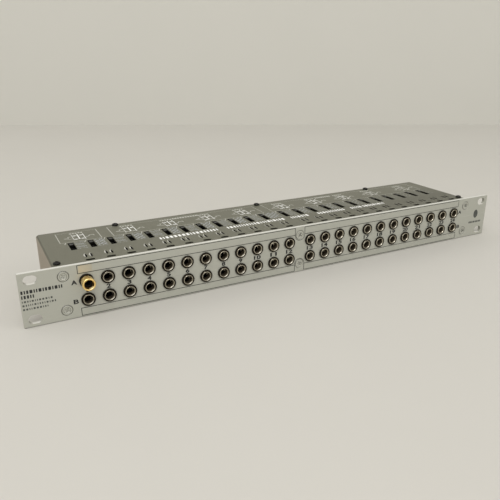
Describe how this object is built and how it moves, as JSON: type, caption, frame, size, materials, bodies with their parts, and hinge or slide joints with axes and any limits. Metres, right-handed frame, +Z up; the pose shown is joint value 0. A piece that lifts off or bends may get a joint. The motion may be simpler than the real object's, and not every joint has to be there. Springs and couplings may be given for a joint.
{
  "type": "audio patch bay",
  "caption": "Rack-mount audio patch bay: two rows of phone sockets in front and rear panels, slide switches under slots in its top cover, and a plug adapter.",
  "frame": {"origin": "centre of the front panel's front face", "axes": "+X right seen from the front, +Y to the rear, +Z up"},
  "size_m": [0.4826, 0.1034, 0.0438],
  "materials": {
    "panel_aluminium": "pale grey matt anodised, with fine grain",
    "cover_paint": "olive grey satin paint on steel sheet",
    "plated_screws": "plated, satin",
    "black_screws": "black oxide, slight sheen",
    "zinc_steel": "bright zinc",
    "black_plastic": "moulded black, satin",
    "knob_plastic": "moulded black, satin",
    "nickel": "nickel plate, polished",
    "spring_bronze": "phosphor bronze strip",
    "card_laminate": "green glass-fibre laminate",
    "switch_plastic": "moulded black",
    "gold_plate": "gold plate, polished",
    "insulator_plastic": "moulded black"
  },
  "bodies": {
    "chassis": {"front_panel": "panel_aluminium", "panel_screws": "plated_screws", "panel_clinch_nuts": "zinc_steel", "top_cover": "cover_paint", "cover_screws": "black_screws", "chassis_tray": "cover_paint", "rear_panel": "cover_paint", "rear_panel_screws": "black_screws", "rear_clinch_nuts": "zinc_steel", "front_jack_bodies": "black_plastic", "front_jack_ferrules": "nickel", "front_tip_springs": "spring_bronze", "front_ring_springs": "spring_bronze", "rear_jack_bodies": "black_plastic", "rear_jack_ferrules": "nickel", "rear_tip_springs": "spring_bronze", "rear_ring_springs": "spring_bronze", "circuit_cards": "card_laminate", "switch_housings": "switch_plastic", "switch_terminals": "zinc_steel"},
    "switch_01": {"switch_knob_01": "knob_plastic"},
    "switch_02": {"switch_knob_02": "knob_plastic"},
    "switch_03": {"switch_knob_03": "knob_plastic"},
    "switch_04": {"switch_knob_04": "knob_plastic"},
    "switch_05": {"switch_knob_05": "knob_plastic"},
    "switch_06": {"switch_knob_06": "knob_plastic"},
    "switch_07": {"switch_knob_07": "knob_plastic"},
    "switch_08": {"switch_knob_08": "knob_plastic"},
    "switch_09": {"switch_knob_09": "knob_plastic"},
    "switch_10": {"switch_knob_10": "knob_plastic"},
    "switch_11": {"switch_knob_11": "knob_plastic"},
    "switch_12": {"switch_knob_12": "knob_plastic"},
    "switch_13": {"switch_knob_13": "knob_plastic"},
    "switch_14": {"switch_knob_14": "knob_plastic"},
    "switch_15": {"switch_knob_15": "knob_plastic"},
    "switch_16": {"switch_knob_16": "knob_plastic"},
    "switch_17": {"switch_knob_17": "knob_plastic"},
    "switch_18": {"switch_knob_18": "knob_plastic"},
    "switch_19": {"switch_knob_19": "knob_plastic"},
    "switch_20": {"switch_knob_20": "knob_plastic"},
    "switch_21": {"switch_knob_21": "knob_plastic"},
    "switch_22": {"switch_knob_22": "knob_plastic"},
    "switch_23": {"switch_knob_23": "knob_plastic"},
    "switch_24": {"switch_knob_24": "knob_plastic"},
    "adapter": {"adapter_shell": "gold_plate", "adapter_insulators": "insulator_plastic", "adapter_ring_contact": "gold_plate", "adapter_tip": "gold_plate", "adapter_socket_insert": "insulator_plastic", "adapter_socket_contact": "gold_plate"}
  },
  "joints": [
    {"name": "switch_01_slide", "type": "slide", "parent": "chassis", "child": "switch_01", "axis": [0, -1, 0], "range_m": [0, 0.0095]},
    {"name": "switch_02_slide", "type": "slide", "parent": "chassis", "child": "switch_02", "axis": [0, -1, 0], "range_m": [0, 0.0095]},
    {"name": "switch_03_slide", "type": "slide", "parent": "chassis", "child": "switch_03", "axis": [0, -1, 0], "range_m": [0, 0.0095]},
    {"name": "switch_04_slide", "type": "slide", "parent": "chassis", "child": "switch_04", "axis": [0, -1, 0], "range_m": [0, 0.0095]},
    {"name": "switch_05_slide", "type": "slide", "parent": "chassis", "child": "switch_05", "axis": [0, -1, 0], "range_m": [0, 0.0095]},
    {"name": "switch_06_slide", "type": "slide", "parent": "chassis", "child": "switch_06", "axis": [0, -1, 0], "range_m": [0, 0.0095]},
    {"name": "switch_07_slide", "type": "slide", "parent": "chassis", "child": "switch_07", "axis": [0, -1, 0], "range_m": [0, 0.0095]},
    {"name": "switch_08_slide", "type": "slide", "parent": "chassis", "child": "switch_08", "axis": [0, -1, 0], "range_m": [0, 0.0095]},
    {"name": "switch_09_slide", "type": "slide", "parent": "chassis", "child": "switch_09", "axis": [0, -1, 0], "range_m": [0, 0.0095]},
    {"name": "switch_10_slide", "type": "slide", "parent": "chassis", "child": "switch_10", "axis": [0, -1, 0], "range_m": [0, 0.0095]},
    {"name": "switch_11_slide", "type": "slide", "parent": "chassis", "child": "switch_11", "axis": [0, -1, 0], "range_m": [0, 0.0095]},
    {"name": "switch_12_slide", "type": "slide", "parent": "chassis", "child": "switch_12", "axis": [0, -1, 0], "range_m": [0, 0.0095]},
    {"name": "switch_13_slide", "type": "slide", "parent": "chassis", "child": "switch_13", "axis": [0, -1, 0], "range_m": [0, 0.0095]},
    {"name": "switch_14_slide", "type": "slide", "parent": "chassis", "child": "switch_14", "axis": [0, -1, 0], "range_m": [0, 0.0095]},
    {"name": "switch_15_slide", "type": "slide", "parent": "chassis", "child": "switch_15", "axis": [0, -1, 0], "range_m": [0, 0.0095]},
    {"name": "switch_16_slide", "type": "slide", "parent": "chassis", "child": "switch_16", "axis": [0, -1, 0], "range_m": [0, 0.0095]},
    {"name": "switch_17_slide", "type": "slide", "parent": "chassis", "child": "switch_17", "axis": [0, -1, 0], "range_m": [0, 0.0095]},
    {"name": "switch_18_slide", "type": "slide", "parent": "chassis", "child": "switch_18", "axis": [0, -1, 0], "range_m": [0, 0.0095]},
    {"name": "switch_19_slide", "type": "slide", "parent": "chassis", "child": "switch_19", "axis": [0, -1, 0], "range_m": [0, 0.0095]},
    {"name": "switch_20_slide", "type": "slide", "parent": "chassis", "child": "switch_20", "axis": [0, -1, 0], "range_m": [0, 0.0095]},
    {"name": "switch_21_slide", "type": "slide", "parent": "chassis", "child": "switch_21", "axis": [0, -1, 0], "range_m": [0, 0.0095]},
    {"name": "switch_22_slide", "type": "slide", "parent": "chassis", "child": "switch_22", "axis": [0, -1, 0], "range_m": [0, 0.0095]},
    {"name": "switch_23_slide", "type": "slide", "parent": "chassis", "child": "switch_23", "axis": [0, -1, 0], "range_m": [0, 0.0095]},
    {"name": "switch_24_slide", "type": "slide", "parent": "chassis", "child": "switch_24", "axis": [0, -1, 0], "range_m": [0, 0.0095]},
    {"name": "adapter_unplug", "type": "slide", "parent": "chassis", "child": "adapter", "axis": [0, -1, 0], "range_m": [0, 0.04]}
  ]
}
